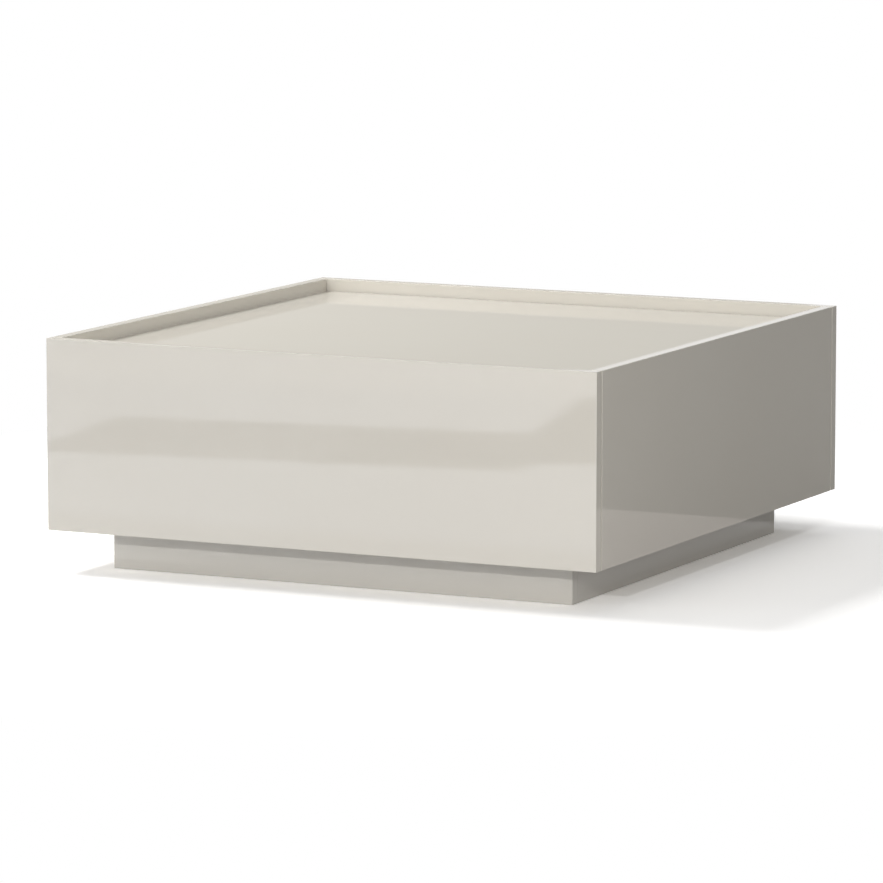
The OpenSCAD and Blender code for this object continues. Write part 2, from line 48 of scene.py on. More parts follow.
camera = {
    "place": (4.08439, -8.39823, 1.49831),
    "tilt": 81.948,  # degrees up from looking straight down
    "turn": 26.024,
    "lens": 238.57,
    "sensor": 36.0,
    "reach": 200.0,  # how far it sees, in metres
}


def makeCamera():
    data = bpy.data.cameras.new("photoCamera")
    data.lens = camera["lens"]
    data.sensor_width = camera["sensor"]
    data.clip_end = camera["reach"]
    view = bpy.data.objects.new("photoCamera", data)
    view.location = camera["place"]
    view.rotation_euler = (math.radians(camera["tilt"]), 0, math.radians(camera["turn"]))
    bpy.context.collection.objects.link(view)
    bpy.context.scene.camera = view
    bpy.context.scene.view_settings.view_transform = "Standard"


# An sRGB hex colour as linear red, green, blue and alpha
def linear(hexColour):
    values = [int(hexColour[i : i + 2], 16) / 255 for i in (1, 3, 5)]
    return tuple(v / 12.92 if v <= 0.04045 else ((v + 0.055) / 1.055) ** 2.4 for v in values) + (1,)


# Adds one shader node: a node or a socket among its inputs is linked, anything else is a value
def addNode(tree, kind, inputs, **settings):
    node = tree.nodes.new(kind)
    for name, value in settings.items():
        setattr(node, name, value)
    for key, value in inputs.items():
        if isinstance(value, bpy.types.Node):
            value = value.outputs[0]
        if isinstance(value, bpy.types.NodeSocket):
            tree.links.new(value, node.inputs[key])
        else:
            node.inputs[key].default_value = value
    return node


# A new material, its empty tree of nodes and the object's own coordinates
def newMaterial(name):
    material = bpy.data.materials.new(name)
    material.use_nodes = True
    tree = material.node_tree
    tree.nodes.clear()
    return material, tree, addNode(tree, "ShaderNodeTexCoord", {}).outputs["Object"]


lacquerLook = {
    "colour": "#D7D3CA",
    "shade": "#D5D0C6",
    "plinthPaintedShadeColour": "#D6D3CC",  # painted shade: the plinth's colour is a touch greyer and cooler, for the light that reaches it under the overhang
    "plinthPaintedShadeCloud": "#D4D0C8",
    "ior": 1.55,
    "patch": 260 * mm,  # size of the faint cloudiness of a sprayed coat
    "peel": 5 * mm,  # orange peel, drawn twice as coarse as it is so that it shows
    "peelStrength": 0.02,
    "peelDepth": 0.1 * mm,
    "polished": 0.03,
    "satin": 0.34,
    "haze": 0.01,  # how much the roughness wanders with the cloudiness
    "wall": 0.4735,  # inside these walls, between these two heights, the lacquer is left satin
    "plinthTop": 0.0669,
    "trayFoot": 0.333,
}


# Polyurethane lacquer on fibreboard, sprayed, sanded and polished: a mirror with a faint waviness
# outside, and the plain satin spray coat on the inner faces
def makeLacquer(name, colour, shade):
    look = lacquerLook
    material, tree, place = newMaterial(name)
    cloud = addNode(
        tree, "ShaderNodeTexNoise", {"Vector": place, "Scale": 1 / look["patch"], "Detail": 2.0}
    )
    tint = addNode(
        tree, "ShaderNodeMix", {0: cloud, 6: linear(colour), 7: linear(shade)}, data_type="RGBA"
    )
    x, y, z = addNode(tree, "ShaderNodeSeparateXYZ", {"Vector": place}).outputs
    across = addNode(tree, "ShaderNodeMath", {0: x}, operation="ABSOLUTE")
    along = addNode(tree, "ShaderNodeMath", {0: y}, operation="ABSOLUTE")
    reach = addNode(tree, "ShaderNodeMath", {0: across, 1: along}, operation="MAXIMUM")
    polished = addNode(
        tree, "ShaderNodeMath", {0: reach, 1: look["wall"]}, operation="GREATER_THAN"
    )
    for height, test in (("trayFoot", "GREATER_THAN"), ("plinthTop", "LESS_THAN")):
        past = addNode(tree, "ShaderNodeMath", {0: z, 1: look[height]}, operation=test)
        polished = addNode(tree, "ShaderNodeMath", {0: polished, 1: past}, operation="MAXIMUM")
    base = addNode(
        tree,
        "ShaderNodeMapRange",
        {"Value": polished, "To Min": look["satin"], "To Max": look["polished"]},
    )
    haze = addNode(
        tree,
        "ShaderNodeMapRange",
        {"Value": cloud, "To Min": -look["haze"], "To Max": look["haze"]},
    )
    rough = addNode(tree, "ShaderNodeMath", {0: base, 1: haze}, operation="ADD")
    peel = addNode(
        tree, "ShaderNodeTexNoise", {"Vector": place, "Scale": 1 / look["peel"], "Detail": 0.0}
    )
    bump = addNode(
        tree,
        "ShaderNodeBump",
        {"Height": peel, "Strength": look["peelStrength"], "Distance": look["peelDepth"]},
    )
    shader = addNode(
        tree,
        "ShaderNodeBsdfPrincipled",
        {"IOR": look["ior"], "Base Color": tint.outputs[2], "Roughness": rough, "Normal": bump},
    )
    addNode(tree, "ShaderNodeOutputMaterial", {"Surface": shader})
    return material


melamineLook = {
    "colour": "#E2DDD3",
    "thread": "#D9D3C8",
    "ior": 1.5,
    "pitch": 1.2 * mm,  # linen emboss, drawn twice as coarse as it is so that it shows
    "stretch": 0.06,  # how thick a thread is beside its length
    "smooth": 0.38,
    "rough": 0.52,
    "raised": (0.4, 0.75),  # the part of the pattern that turns to the threads' colour
    "relief": 0.08 * mm,
    "reliefStrength": 0.25,
}


# Melamine-faced board with a linen emboss: a dull sheen broken by crossing threads
def makeMelamine():
    look = melamineLook
    material, tree, place = newMaterial("linenMelamine")
    threads = []
    for stretch in ((1, look["stretch"], 1), (1, 1, look["stretch"])):
        run = addNode(tree, "ShaderNodeMapping", {"Vector": place, "Scale": stretch})
        inputs = {"Vector": run, "Scale": 1 / look["pitch"], "Detail": 1.0}
        threads.append(addNode(tree, "ShaderNodeTexNoise", inputs))
    weave = addNode(tree, "ShaderNodeMath", {0: threads[0], 1: threads[1]}, operation="MAXIMUM")
    low, high = look["raised"]
    raised = addNode(
        tree, "ShaderNodeMapRange", {"Value": weave, "From Min": low, "From Max": high}
    )
    colour = addNode(
        tree,
        "ShaderNodeMix",
        {0: raised, 6: linear(look["colour"]), 7: linear(look["thread"])},
        data_type="RGBA",
    )
    rough = addNode(
        tree,
        "ShaderNodeMapRange",
        {"Value": weave, "To Min": look["smooth"], "To Max": look["rough"]},
    )
    bump = addNode(
        tree,
        "ShaderNodeBump",
        {"Height": weave, "Strength": look["reliefStrength"], "Distance": look["relief"]},
    )
    shader = addNode(
        tree,
        "ShaderNodeBsdfPrincipled",
        {"IOR": look["ior"], "Base Color": colour.outputs[2], "Roughness": rough, "Normal": bump},
    )
    addNode(tree, "ShaderNodeOutputMaterial", {"Surface": shader})
    return material


beechLook = {
    "early": "#DDBB94",
    "late": "#CFA67B",
    "fleck": "#A67A50",
    "ior": 1.5,
    "ring": 6 * mm,
    "fibre": 0.7 * mm,
    "fleckSize": 1.6 * mm,
    "grainStretch": 0.05,  # how thick rings and flecks are beside their length
    "fleckStretch": 0.25,
    "smooth": 0.45,
    "rough": 0.62,
    "rings": (0.35, 0.65),  # the part of the pattern that turns to late wood, and to flecks
    "flecks": (0.6, 0.72),
    "fleckLevel": 0.8,
    "relief": 0.06 * mm,
    "reliefStrength": 0.3,
}


# Steamed beech, planed: a pale pinkish ground with soft rings and short dark ray flecks along it
def makeBeech(name, grain):
    look = beechLook
    material, tree, place = newMaterial(name)
    noises = {}
    for part, stretch, detail in (
        ("ring", "grainStretch", 3.0),
        ("fibre", "grainStretch", 3.0),
        ("fleckSize", "fleckStretch", 1.0),
    ):
        along = tuple(look[stretch] if axis == grain else 1.0 for axis in range(3))
        run = addNode(tree, "ShaderNodeMapping", {"Vector": place, "Scale": along})
        noises[part] = addNode(
            tree, "ShaderNodeTexNoise", {"Vector": run, "Scale": 1 / look[part], "Detail": detail}
        )
    low, high = look["rings"]
    rings = addNode(
        tree, "ShaderNodeMapRange", {"Value": noises["ring"], "From Min": low, "From Max": high}
    )
    ground = addNode(
        tree,
        "ShaderNodeMix",
        {0: rings, 6: linear(look["early"]), 7: linear(look["late"])},
        data_type="RGBA",
    )
    low, high = look["flecks"]
    level = look["fleckLevel"]
    flecks = addNode(
        tree,
        "ShaderNodeMapRange",
        {"Value": noises["fleckSize"], "From Min": low, "From Max": high, "To Max": level},
    )
    colour = addNode(
        tree,
        "ShaderNodeMix",
        {0: flecks, 6: ground.outputs[2], 7: linear(look["fleck"])},
        data_type="RGBA",
    )
    rough = addNode(
        tree,
        "ShaderNodeMapRange",
        {"Value": noises["fibre"], "To Min": look["smooth"], "To Max": look["rough"]},
    )
    bump = addNode(
        tree,
        "ShaderNodeBump",
        {"Height": noises["fibre"], "Strength": look["reliefStrength"], "Distance": look["relief"]},
    )
    shader = addNode(
        tree,
        "ShaderNodeBsdfPrincipled",
        {"IOR": look["ior"], "Base Color": colour.outputs[2], "Roughness": rough, "Normal": bump},
    )
    addNode(tree, "ShaderNodeOutputMaterial", {"Surface": shader})
    return material


grainLook = {  # what all metals and plastics share
    "contrast": (0.3, 0.7),  # the part of the pattern that goes from the low to the high roughness
    "spot": 12 * mm,  # size of the spots in a plating's tint
    "reliefStrength": 0.3,
    "plasticIor": 1.48,
}

metalLooks = {
    # name: colour, tint, low and high roughness, pattern's size, stretch along the rail, relief
    "rolledZincSteel": ("#BDC0C3", "#A9AEB6", 0.26, 0.42, 1.5 * mm, 0.02, 0.03 * mm),
    "turnedZincSteel": ("#C6C8CA", "#B4B8BF", 0.20, 0.34, 0.8 * mm, 1.0, 0.01 * mm),
    "castZinc": ("#A7A9AB", "#94979B", 0.40, 0.58, 0.6 * mm, 1.0, 0.05 * mm),
    "lappedBallSteel": ("#D9DBDC", "#CFD1D4", 0.06, 0.12, 2.0 * mm, 1.0, 0.0),
}


# Metals: strip rolled and zinc-plated with fine lines along it, turned and plated screws, grainy
# pressure-cast cams, and the near mirror of lapped balls
def makeMetal(name):
    colour, tint, smooth, rough, size, stretch, relief = metalLooks[name]
    material, tree, place = newMaterial(name)
    run = addNode(tree, "ShaderNodeMapping", {"Vector": place, "Scale": (1, stretch, 1)})
    lines = addNode(tree, "ShaderNodeTexNoise", {"Vector": run, "Scale": 1 / size, "Detail": 3.0})
    spots = addNode(
        tree, "ShaderNodeTexNoise", {"Vector": place, "Scale": 1 / grainLook["spot"], "Detail": 2.0}
    )
    mixed = addNode(
        tree, "ShaderNodeMix", {0: spots, 6: linear(colour), 7: linear(tint)}, data_type="RGBA"
    )
    low, high = grainLook["contrast"]
    polish = addNode(
        tree,
        "ShaderNodeMapRange",
        {"Value": lines, "From Min": low, "From Max": high, "To Min": smooth, "To Max": rough},
    )
    inputs = {"Metallic": 1.0, "Base Color": mixed.outputs[2], "Roughness": polish}
    if relief:
        strength = grainLook["reliefStrength"]
        inputs["Normal"] = addNode(
            tree, "ShaderNodeBump", {"Height": lines, "Strength": strength, "Distance": relief}
        )
    shader = addNode(tree, "ShaderNodeBsdfPrincipled", inputs)
    addNode(tree, "ShaderNodeOutputMaterial", {"Surface": shader})
    return material


plasticLooks = {
    # name: colour, shade, low and high roughness, size of the grain, relief
    "mouldedAcetal": ("#ECEAE3", "#E3E0D8", 0.28, 0.40, 3.0 * mm, 0.01 * mm),
    "sparkedGreyPlastic": ("#7B7D7F", "#6F7173", 0.45, 0.60, 0.5 * mm, 0.04 * mm),
    "extrudedEdgeBand": ("#E4DFD6", "#DDD8CE", 0.32, 0.42, 4.0 * mm, 0.01 * mm),
    "blackRubber": ("#2C2C2D", "#3A3A3B", 0.68, 0.85, 0.6 * mm, 0.05 * mm),
    "blackAcetal": ("#222325", "#2A2B2D", 0.34, 0.48, 0.8 * mm, 0.02 * mm),
}


# Moulded and extruded plastics and rubber: a waxy acetal, a finely sparked grey plastic, a smooth
# edge band and a dull rubber
def makePlastic(name):
    colour, shade, smooth, rough, size, relief = plasticLooks[name]
    material, tree, place = newMaterial(name)
    grain = addNode(tree, "ShaderNodeTexNoise", {"Vector": place, "Scale": 1 / size, "Detail": 2.0})
    mixed = addNode(
        tree, "ShaderNodeMix", {0: grain, 6: linear(colour), 7: linear(shade)}, data_type="RGBA"
    )
    low, high = grainLook["contrast"]
    polish = addNode(
        tree,
        "ShaderNodeMapRange",
        {"Value": grain, "From Min": low, "From Max": high, "To Min": smooth, "To Max": rough},
    )
    strength, ior = grainLook["reliefStrength"], grainLook["plasticIor"]
    bump = addNode(
        tree, "ShaderNodeBump", {"Height": grain, "Strength": strength, "Distance": relief}
    )
    shader = addNode(
        tree,
        "ShaderNodeBsdfPrincipled",
        {"IOR": ior, "Base Color": mixed.outputs[2], "Roughness": polish, "Normal": bump},
    )
    addNode(tree, "ShaderNodeOutputMaterial", {"Surface": shader})
    return material


def makeMaterials():
    look = lacquerLook
    made = {"linenMelamine": makeMelamine()}
    for name, colour, shade in (
        ("polishedLacquer", "colour", "shade"),
        # the plinth's copy carries painted shade: a greyer, cooler tint for its place under the
        # overhang
        ("polishedPlinthLacquerPaintedShade", "plinthPaintedShadeColour", "plinthPaintedShadeCloud"),
    ):
        made[name] = makeLacquer(name, look[colour], look[shade])
    for axis, name in enumerate(("beechAcross", "beechAlong")):
        made[name] = makeBeech(name, axis)
    for name in metalLooks:
        made[name] = makeMetal(name)
    for name in plasticLooks:
        made[name] = makePlastic(name)
    return made


nodeFinishes = (
    # words in a node's name, and its finish; the first that fits holds
    (("cam_bolts", "screws"), "turnedZincSteel"),
    (("cam_locks",), "castZinc"),
    (("cages", "plungers"), "mouldedAcetal"),
    (("housings",), "sparkedGreyPlastic"),
    (("cabinet_rail", "middle_rail", "drawer_rail"), "rolledZincSteel"),
    (("carcass_dowels", "corner_blocks"), "beechAcross"),
    (("drawer_dowels", "batten"), "beechAlong"),
    (("partition", "drawer_left", "drawer_right", "drawer_back", "drawer_bottom"), "linenMelamine"),
    # the plinth takes the lacquer copy with painted shade, a greyer and cooler tint
    (("plinth",), "polishedPlinthLacquerPaintedShade"),
    (("drawer_front", "table_top", "panel"), "polishedLacquer"),
)


def finishSolids():
    for name, node in nodes.items():
        finish = next(f for words, f in nodeFinishes if any(word in name for word in words))
        node.data.materials.clear()
        node.data.materials.append(materials[finish])


hair = 0.0005  # corners of a master closer than this, in its millimetres, become one
slack = 0.01  # how far from a plane a corner or a face still counts as lying in it
overlap = 0.1  # how far a shank runs into its head before the two are joined
roundSides = 32
holeSides = 20  # of holes, pins and the hollows in cams
sharpEdge = 35  # faces that meet at more degrees than this keep an edge between them


def deselect():
    bpy.ops.object.select_all(action="DESELECT")


# Selects these pieces alone, the first of them as the active one
def choose(*pieces):
    deselect()
    for piece in pieces:
        piece.select_set(True)
    bpy.context.view_layer.objects.active = pieces[0]


# Opens a piece for editing, with nothing selected or with all of it
def edit(piece, part="FACE", select="DESELECT"):
    choose(piece)
    bpy.ops.object.mode_set(mode="EDIT")
    bpy.ops.mesh.select_mode(type=part)
    bpy.ops.mesh.select_all(action=select)


def close():
    bpy.ops.object.mode_set(mode="OBJECT")


# Selects the corners, edges or faces whose middle, and whose direction for a face, pass a test
def pick(piece, test, part="faces"):
    shape = bmesh.from_edit_mesh(piece.data)
    for item in getattr(shape, part):
        if part == "verts":
            chosen = test(item.co)
        elif part == "edges":
            chosen = test(item.verts[0].co, item.verts[1].co)
        else:
            chosen = test(item.calc_center_median(), item.normal)
        if chosen:
            item.select_set(True)
    bmesh.update_edit_mesh(piece.data)


# Draws the selection out by a step, and scales its end
def drawOut(step, share=None, **about):
    bpy.ops.mesh.extrude_region_move(TRANSFORM_OT_translate={"value": step})
    if share:
        bpy.ops.transform.resize(value=share, **about)


# Applies every modifier of a piece, in order
def applyAll(piece):
    choose(piece)
    for modifier in list(piece.modifiers):
        bpy.ops.object.modifier_apply(modifier=modifier.name)


# Joins or cuts a piece with others, which are used up
def combine(piece, others, operation="DIFFERENCE"):
    for other in others:
        cut = piece.modifiers.new(operation, "BOOLEAN")
        cut.object, cut.operation, cut.solver = other, operation, "EXACT"
        applyAll(piece)
        bpy.data.objects.remove(other)


# A line through points, drawn from a plane that is merged to a point and extruded
def drawLine(name, points):
    deselect()
    bpy.ops.mesh.primitive_plane_add(size=1)
    piece = bpy.context.object
    piece.name = name
    edit(piece, "VERT", "SELECT")
    bpy.ops.mesh.merge(type="CENTER")
    bpy.ops.transform.translate(value=points[0])
    for before, after in zip(points, points[1:]):
        drawOut(Vector(after) - Vector(before))
    close()
    return piece


# Merges doubles and turns every face outwards
def tidyMesh(piece):
    edit(piece, "VERT", "SELECT")
    bpy.ops.mesh.remove_doubles(threshold=hair)
    bpy.ops.mesh.normals_make_consistent(inside=False)
    close()


# A body turned from a profile of (radius, height) points that starts and ends on the Z axis
def turnBody(name, profile, steps):
    piece = drawLine(name, [(radius, 0, height) for radius, height in profile])
    edit(piece, "VERT", "SELECT")
    bpy.ops.mesh.spin(steps=steps, angle=math.tau, center=(0, 0, 0), axis=(0, 0, 1))
    close()
    tidyMesh(piece)
    return piece


threadLook = {
    # in parts of the pitch, above the foot of a tooth's own stretch
    "flatEnd": 0.5,
    "crest": 0.75,
    "sides": 16,
}


# A threaded shank between two heights: a toothed line wound by the Screw modifier, cut off square
def cutThread(name, crest, core, pitch, low, high):
    line = []
    for turn in range(math.ceil((high - low) / pitch) + 2):
        start = low - 1.5 * pitch + turn * pitch
        tooth = [start + threadLook[part] * pitch for part in ("flatEnd", "crest")]
        line += [(core, 0, start), (core, 0, tooth[0]), (crest, 0, tooth[1])]
    piece = drawLine(name, line + [(core, 0, start + pitch)])
    wind = piece.modifiers.new("wind", "SCREW")
    wind.screw_offset = pitch
    wind.steps = wind.render_steps = threadLook["sides"]
    wind.use_merge_vertices, wind.merge_threshold = True, hair
    applyAll(piece)
    tidyMesh(piece)
    for height, keepAbove in ((low, True), (high, False)):
        edit(piece, select="SELECT")
        bpy.ops.mesh.bisect(
            plane_co=(0, 0, height),
            plane_no=(0, 0, 1),
            use_fill=True,
            clear_inner=keepAbove,
            clear_outer=not keepAbove,
        )
        close()
    tidyMesh(piece)
    return piece


# A block given by its two corners, drawn out of a cube
def makeBlock(low, high):
    deselect()
    bpy.ops.mesh.primitive_cube_add(size=1, location=(0, 0, 0))
    block = bpy.context.object
    edit(block, select="SELECT")
    bpy.ops.transform.resize(value=Vector(high) - Vector(low))
    bpy.ops.transform.translate(value=(Vector(high) + Vector(low)) / 2)
    close()
    return block


# The loose solids of a CAD node, each as its corner points
def solidsOf(name):
    shape = bmesh.new()
    shape.from_mesh(nodes[name].data)
    bmesh.ops.remove_doubles(shape, verts=shape.verts[:], dist=0.001 * mm)
    shape.verts.index_update()
    seen, solids = set(), []
    for first in shape.verts:
        if first.index in seen:
            continue
        seen.add(first.index)
        found = [first]
        for corner in found:
            for edge in corner.link_edges:
                other = edge.other_vert(corner)
                if other.index not in seen:
                    seen.add(other.index)
                    found.append(other)
        solids.append([corner.co.copy() for corner in found])
    shape.free()
    return solids


def boxOf(points):
    low = Vector([min(p[i] for p in points) for i in range(3)])
    high = Vector([max(p[i] for p in points) for i in range(3)])
    return low, high


def lengthOf(points):
    low, high = boxOf(points)
    return high.y - low.y


# The middle of a turned solid's wide end, and the way from there to its other end
def wideEnd(points):
    low, high = boxOf(points)
    size, middle = high - low, (low + high) / 2
    axis = max(range(3), key=lambda i: size[i])
    reach = []
    for end in (low, high):
        ring = [p - middle for p in points if abs(p[axis] - end[axis]) < 0.05 * mm]
        for p in ring:
            p[axis] = 0
        reach.append(max(p.length for p in ring))
    start, way = middle.copy(), Vector((0, 0, 0))
    wide = low if reach[0] > reach[1] else high
    start[axis] = wide[axis]
    way[axis] = 1 if wide is low else -1
    return start, way


# Copies a master, modelled in millimetres, to a place in metres, with its Z axis along up and,
# where it matters, its X axis along towards
def copyTo(master, place, up, turn=0.0, towards=None):
    piece = master.copy()
    piece.data = master.data.copy()
    bpy.context.collection.objects.link(piece)
    upright = Vector((0, 0, 1)).rotation_difference(Vector(up)).to_matrix().to_4x4()
    if towards:
        upright = Matrix((towards, Vector(up).cross(towards), up)).transposed().to_4x4()
    spun = Matrix.Rotation(turn, 4, "Z")
    piece.data.transform(Matrix.Translation(place) @ upright @ spun @ Matrix.Scale(mm, 4))
    return piece


# Joins the copies into one piece, gives it its name, finish and body, and hides the nodes it stands
# for
def finishPiece(parts, name, finish, body, replaced=()):
    choose(*parts)
    piece = parts[0]
    if len(parts) > 1:
        bpy.ops.object.join()
    bpy.ops.object.shade_smooth_by_angle(angle=math.radians(sharpEdge))
    piece.name = name
    piece.data.name = name
    piece.data.materials.clear()
    piece.data.materials.append(materials[finish])
    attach(piece, body)
    if replaced:
        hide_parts(*replaced)


screwLook = {
    # every size in parts of the thread's diameter
    "core": 0.66,
    "pitch": 0.38,
    "rim": 0.1,
    "rimRound": 0.06,
    "shank": 1.15,  # in parts of the core
    "headFoot": 0.55,
    "neck": 0.75,  # how far down the plain neck under the head goes
    "tip": 0.9,
    "recessArm": 0.24,
    "recessReach": 0.42,
    "recessDepth": 0.6,
    "recessAbove": 0.1,
    "recessTaper": 0.4,
    "sides": 24,
}


# A countersunk screw with a cross recess: its head's face at the origin and its tip down
def makeScrew(thick, length):
    look = screwLook
    core = look["core"] * thick / 2
    tip, neck = length - look["tip"] * thick, look["neck"] * thick
    thread = cutThread("thread", thick / 2, core, look["pitch"] * thick, -tip, -neck + overlap)
    edit(thread)
    pick(thread, lambda middle, way: way.z < -0.99 and middle.z < -tip + slack)
    drawOut((0, 0, -look["tip"] * thick))
    bpy.ops.mesh.merge(type="CENTER")
    close()
    rim, rounded, shank = look["rim"] * thick, look["rimRound"] * thick, look["shank"] * core
    head = [(0, 0), (thick - rounded, 0), (thick, -rounded), (thick, -rim)]
    foot = [(shank, -look["headFoot"] * thick), (shank, -neck), (0, -neck - overlap)]
    screw = turnBody("screwMaster", head + foot, look["sides"])
    combine(screw, [thread], "UNION")
    combine(screw, [makeCross(thick)])
    tidyMesh(screw)
    return screw


# The tapered cross that the driver's bit fits: a cube whose four sides are drawn out
def makeCross(thick):
    look = screwLook
    arm, depth = look["recessArm"] * thick, look["recessDepth"] * thick
    deselect()
    bpy.ops.mesh.primitive_cube_add(size=arm, location=(0, 0, 0))
    cross = bpy.context.object
    edit(cross)
    pick(cross, lambda middle, way: abs(way.z) < 0.5)
    reach = {"value": look["recessReach"] * thick}
    bpy.ops.mesh.extrude_faces_move(TRANSFORM_OT_shrink_fatten=reach)
    close()
    edit(cross, "VERT")
    pick(cross, lambda point: point.z > 0, "verts")
    bpy.ops.transform.translate(value=(0, 0, look["recessAbove"] * thick - arm / 2))
    bpy.ops.mesh.select_all(action="INVERT")
    bpy.ops.transform.translate(value=(0, 0, arm / 2 - depth))
    taper = look["recessTaper"]
    bpy.ops.transform.resize(value=(taper, taper, 1), center_override=(0, 0, 0))
    close()
    return cross


screwNodes = (
    # node, body, thread's diameter
    ("cabinet_rail_screws", "carcass", 3.5),
    ("latch_screws", "carcass", 3.5),
    ("plinth_screws", "carcass", 5.0),
    ("front_drawer_screws", "front_drawer", 3.5),
    ("back_drawer_screws", "back_drawer", 3.5),
    ("front_drawer_long_screws", "front_drawer", 5.0),
    ("back_drawer_long_screws", "back_drawer", 5.0),
)


def makeScrews():
    masters = {}
    for node, body, thick in screwNodes:
        parts = []
        for count, points in enumerate(solidsOf(node)):
            start, way = wideEnd(points)
            low, high = boxOf(points)
            length = round(max(high - low) / mm)
            if (thick, length) not in masters:
                masters[thick, length] = makeScrew(thick, length)
            turn = 0.7 * count  # so that no two crosses stand alike
            parts.append(copyTo(masters[thick, length], start, -way, turn))
        finishPiece(parts, f"turned_{node}", "turnedZincSteel", body, [node])
    for master in masters.values():
        bpy.data.objects.remove(master)


cageLook = {
    "wall": 0.65,
    "bend": 1.1,
    "pocket": 1.9,  # radius of the hole that a ball sits in
    "step": 37.5,  # from ball to ball
    "windows": 5,
    "window": (20.0, 0.42),  # a window's length, and its height as a share of the cage's
    "windowRound": 3.0,
    "ball": 1.75,
}


# A strip bent to a channel, open towards +X, with a row of ball pockets in each arm and windows
# in the web
def makeCage(width, length, height, ballX):
    look = cageLook
    cage = makeBlock((0, -length / 2, -height / 2), (width, length / 2, height / 2))
    edit(cage)
    pick(cage, lambda middle, way: way.x > 0.9 or abs(way.y) > 0.9)
    bpy.ops.mesh.delete(type="FACE")
    close()
    edit(cage, "EDGE")
    pick(cage, lambda a, b: max(a.x, b.x) < hair and abs(a.z - b.z) < hair, "edges")
    bpy.ops.mesh.bevel(offset=look["bend"], segments=4)
    close()
    shell = cage.modifiers.new("shell", "SOLIDIFY")
    shell.thickness, shell.offset = look["wall"], -1
    applyAll(cage)
    combine(cage, [cagePockets(length, height, ballX), cageWindows(height)])
    tidyMesh(cage)
    return cage


def cagePockets(length, height, ballX):
    look = cageLook
    start = -length / 2 + look["step"] / 2
    deselect()
    bpy.ops.mesh.primitive_cylinder_add(
        vertices=holeSides, radius=look["pocket"], depth=height + 4, location=(ballX, start, 0)
    )
    pockets = bpy.context.object
    bpy.ops.object.transform_apply()
    return repeatAlong(pockets, round(length / look["step"]), look["step"])


def cageWindows(height):
    look = cageLook
    long, share = look["window"]
    start, tall = (1 - look["windows"]) / 2 * look["step"], share * height
    windows = makeBlock((-1.5, start - long / 2, -tall / 2), (1.5, start + long / 2, tall / 2))
    edit(windows, "EDGE")
    pick(windows, lambda a, b: abs(a.x - b.x) > 1, "edges")
    bpy.ops.mesh.bevel(offset=look["windowRound"], segments=5)
    close()
    return repeatAlong(windows, look["windows"], look["step"])


def repeatAlong(piece, count, step):
    row = piece.modifiers.new("row", "ARRAY")
    row.count, row.use_relative_offset, row.use_constant_offset = count, False, True
    row.constant_offset_displace = (0, step, 0)
    applyAll(piece)
    return piece


# A ball pressed round from a divided cube
def makeBall():
    deselect()
    bpy.ops.mesh.primitive_cube_add(size=2)
    ball = bpy.context.object
    edit(ball, "VERT", "SELECT")
    bpy.ops.mesh.subdivide(number_cuts=2)
    bpy.ops.transform.tosphere(value=1)
    far = max(v.co.length for v in bmesh.from_edit_mesh(ball.data).verts)
    bpy.ops.transform.resize(value=(cageLook["ball"] / far,) * 3)
    close()
    return ball


def makeCages():
    ball = makeBall()
    for end in ("front", "back"):
        for ring in ("outer", "inner"):
            node = f"{end}_{ring}_cages"
            solids = sorted(solidsOf(node), key=lengthOf, reverse=True)  # two strips, then balls
            middles = [sum(boxOf(points), Vector()) / 2 for points in solids]
            low, high = boxOf(solids[0])
            size = (high - low) / mm
            web = low.x if low.x < 0 else high.x
            near = [m for m in middles[2:] if (m.x < 0) == (low.x < 0)]
            master = makeCage(*size, abs(near[0].x - web) / mm)
            parts = []
            for points in solids[:2]:
                low, high = boxOf(points)
                left = low.x < 0
                place = ((low.x if left else high.x), (low.y + high.y) / 2, (low.z + high.z) / 2)
                parts.append(copyTo(master, place, (0, 0, 1), 0.0 if left else math.pi))
            finishPiece(parts, f"bent_{node}", "mouldedAcetal", node, [node])
            balls = [copyTo(ball, m, (0, 0, 1), 0.3 * i) for i, m in enumerate(middles[2:])]
            finishPiece(balls, f"{end}_{ring}_balls", "lappedBallSteel", node)
            bpy.data.objects.remove(master)
    bpy.data.objects.remove(ball)


latchLook = {
    "plate": 3.0,  # the flange's height
    "plateEdge": (0.7, 0.93),  # the height that thins, and to what share
    "screwAt": 17.0,
    "screwHole": [(0, -1), (1.85, -1), (1.85, 1.25), (3.6, 3), (3.6, 4), (0, 4)],
    "sunk": 0.5,  # how far the barrel and the ribs start inside the flange
    "radius": 8.0,
    "bore": 4.1,
    "mouth": (0.8, 0.2),  # how much wider, and how far past the rim, the bore's mouth is cut
    "edge": 0.6,
    "collar": 5.0,
    "rib": (2.0, 12.6, 17.0),  # width, reach and height of the two ribs
    "ribTop": 0.2,  # how far inside the barrel's side they end
    "window": (3.0, 9.0, 15.0),  # the snap window's width, foot and top
}


# The flange of a latch: a disc drawn out to a long rounded plate, thinned at its upper edge
def makeFlange():
    look = latchLook
    deselect()
    bpy.ops.mesh.primitive_circle_add(vertices=roundSides, radius=look["radius"], fill_type="NGON")
    flange = bpy.context.object
    for side in (-1, 1):
        edit(flange, "VERT")
        pick(flange, lambda point: point.y * side > slack, "verts")
        bpy.ops.transform.translate(value=(0, side * look["screwAt"], 0))
        close()
    edit(flange, select="SELECT")
    thin, edge = look["plateEdge"]
    for rise, share in ((look["plate"] - thin, 1.0), (thin, edge)):
        drawOut((0, 0, rise), (share, (1 + share) / 2, 1))
    close()
    tidyMesh(flange)
    return flange


